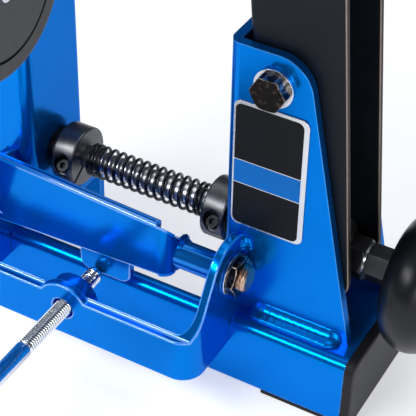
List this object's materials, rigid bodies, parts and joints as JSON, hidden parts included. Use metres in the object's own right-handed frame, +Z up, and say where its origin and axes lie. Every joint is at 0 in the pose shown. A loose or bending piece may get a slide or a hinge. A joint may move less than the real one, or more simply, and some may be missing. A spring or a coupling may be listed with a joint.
{
  "type": "bicycle wheel truing stand",
  "caption": "Bench stand that holds a bicycle wheel between two leaning uprights, with a screw spreader, a swinging arm and screw-closed calipers.",
  "frame": {"origin": "middle of the four bench bolts, on the bench face", "axes": "+Z up, +X across the stand towards the large spreader knob, +Y to the back"},
  "size_m": [0.3075, 0.2519, 0.4223],
  "materials": {
    "frame_paint": "gloss powder coat",
    "upright_coat": "satin powder coat",
    "boot_rubber": "matte moulded rubber",
    "black_oxide": "black oxide, oiled",
    "bright_steel": "ground steel",
    "zinc_plate": "bright zinc plate",
    "finger_coat": "satin powder coat",
    "spring_wire": "oiled spring wire",
    "bush_bronze": "sintered bronze",
    "slip_plastic": "moulded nylon",
    "knob_plastic": "soft-touch moulding",
    "badge_metal": "brushed plate, bare"
  },
  "bodies": {
    "stand": {"base_channel": "frame_paint", "end_boot_right": "boot_rubber", "end_boot_left": "boot_rubber", "bench_bolt_bars": "black_oxide", "tower_right": "frame_paint", "tower_left": "frame_paint", "weld_beads": "frame_paint", "badge_plate": "badge_metal", "shaft_bushes": "bush_bronze", "tower_pivot_bolts": "black_oxide", "tower_pivot_nuts": "black_oxide", "tower_pivot_washers": "zinc_plate", "friction_washers": "slip_plastic", "pivot_spacers": "zinc_plate", "front_strap": "frame_paint", "screw_boss": "frame_paint"},
    "right_upright": {"upright_right": "upright_coat", "dropout_right": "bright_steel", "dropout_screws_right": "black_oxide"},
    "left_upright": {"upright_left": "upright_coat", "dropout_left": "bright_steel", "dropout_screws_left": "black_oxide"},
    "spreader": {"spreader_shaft": "bright_steel", "collar_right": "black_oxide", "collar_left": "black_oxide", "collar_clamp_screws": "black_oxide", "spreader_spring": "spring_wire", "jam_nut": "black_oxide", "lock_washer": "bright_steel", "knob_ferrule": "black_oxide", "spreader_knob": "knob_plastic", "shaft_end_nut": "black_oxide"},
    "right_barrel": {"barrel_nut_right": "black_oxide"},
    "left_barrel": {"barrel_nut_left": "black_oxide"},
    "arm": {"arm_pivot_rod": "frame_paint", "arm_pivot_nuts": "black_oxide", "arm_pivot_washers": "zinc_plate", "arm_beam": "frame_paint", "arm_tab": "frame_paint", "arm_riser": "frame_paint", "caliper_bridge": "frame_paint", "caliper_pins": "bright_steel"},
    "right_caliper": {"caliper_right": "finger_coat", "caliper_tip_right": "slip_plastic"},
    "left_caliper": {"caliper_left": "finger_coat", "caliper_tip_left": "slip_plastic"},
    "caliper_drive": {"caliper_screw": "zinc_plate", "caliper_knob": "knob_plastic"},
    "right_caliper_nut": {"caliper_nut_right": "bright_steel"},
    "left_caliper_nut": {"caliper_nut_left": "bright_steel"},
    "elevation_push": {"elevation_tip": "bright_steel"},
    "elevation_drive": {"elevation_screw": "zinc_plate", "elevation_knob": "knob_plastic"}
  },
  "joints": [
    {"name": "spreader_spin", "type": "hinge", "parent": "stand", "child": "spreader", "pos_m": [0, 0, 0.0776], "axis": [1, 0, 0], "range_deg": [-600, 2880]},
    {"name": "barrel_right_slide", "type": "slide", "parent": "stand", "child": "right_barrel", "axis": [1, 0, 0], "range_m": [-0.01203, 0.00253]},
    {"name": "barrel_left_slide", "type": "slide", "parent": "stand", "child": "left_barrel", "axis": [1, 0, 0], "range_m": [-0.00253, 0.01203]},
    {"name": "upright_right_lean", "type": "hinge", "parent": "stand", "child": "right_upright", "pos_m": [0.0807, 0, 0.1787], "axis": [0, 1, 0], "range_deg": [-1.42, 6.76]},
    {"name": "upright_left_lean", "type": "hinge", "parent": "stand", "child": "left_upright", "pos_m": [-0.0807, 0, 0.1787], "axis": [0, 1, 0], "range_deg": [-6.76, 1.42]},
    {"name": "elevation_slide", "type": "slide", "parent": "stand", "child": "elevation_push", "axis": [0, 1, 0], "range_m": [-0.00191, 0.01879]},
    {"name": "elevation_spin", "type": "hinge", "parent": "elevation_push", "child": "elevation_drive", "pos_m": [-0.0057, -0.092, 0.0445], "axis": [0, 1, 0], "range_deg": [-457.51, 4508.99]},
    {"name": "arm_swing", "type": "hinge", "parent": "stand", "child": "arm", "pos_m": [0, -0.0365, 0.072], "axis": [1, 0, 0], "range_deg": [-3.9, 39.2]},
    {"name": "caliper_spin", "type": "hinge", "parent": "arm", "child": "caliper_drive", "pos_m": [0, -0.1799, 0.29811], "axis": [1, 0, 0], "range_deg": [-1620, 2520]},
    {"name": "caliper_right_turn", "type": "hinge", "parent": "arm", "child": "right_caliper", "pos_m": [0.022, -0.14685, 0.29989], "axis": [0, -0.471, 0.8821], "range_deg": [-13.41, 8.64]},
    {"name": "caliper_left_turn", "type": "hinge", "parent": "arm", "child": "left_caliper", "pos_m": [-0.022, -0.14685, 0.29989], "axis": [0, -0.471, 0.8821], "range_deg": [-8.64, 13.41]},
    {"name": "caliper_nut_right_slide", "type": "slide", "parent": "arm", "child": "right_caliper_nut", "axis": [1, 0, 0], "range_m": [-0.00702, 0.00452]},
    {"name": "caliper_nut_left_slide", "type": "slide", "parent": "arm", "child": "left_caliper_nut", "axis": [1, 0, 0], "range_m": [-0.00452, 0.00702]}
  ],
  "couplings": [
    {"joint": "barrel_right_slide", "follows": "spreader_spin", "m_per_rad": -0.00023873},
    {"joint": "barrel_left_slide", "follows": "spreader_spin", "m_per_rad": 0.00023873},
    {"joint": "upright_right_lean", "follows": "spreader_spin", "ratio": 0.0023405},
    {"joint": "upright_left_lean", "follows": "spreader_spin", "ratio": -0.0023405},
    {"joint": "elevation_slide", "follows": "arm_swing", "m_per_rad": 0.0274},
    {"joint": "elevation_spin", "follows": "arm_swing", "ratio": 114.77},
    {"joint": "caliper_right_turn", "follows": "caliper_spin", "ratio": -0.0053052},
    {"joint": "caliper_left_turn", "follows": "caliper_spin", "ratio": 0.0053052},
    {"joint": "caliper_nut_right_slide", "follows": "caliper_spin", "m_per_rad": -0.00015915},
    {"joint": "caliper_nut_left_slide", "follows": "caliper_spin", "m_per_rad": 0.00015915}
  ]
}
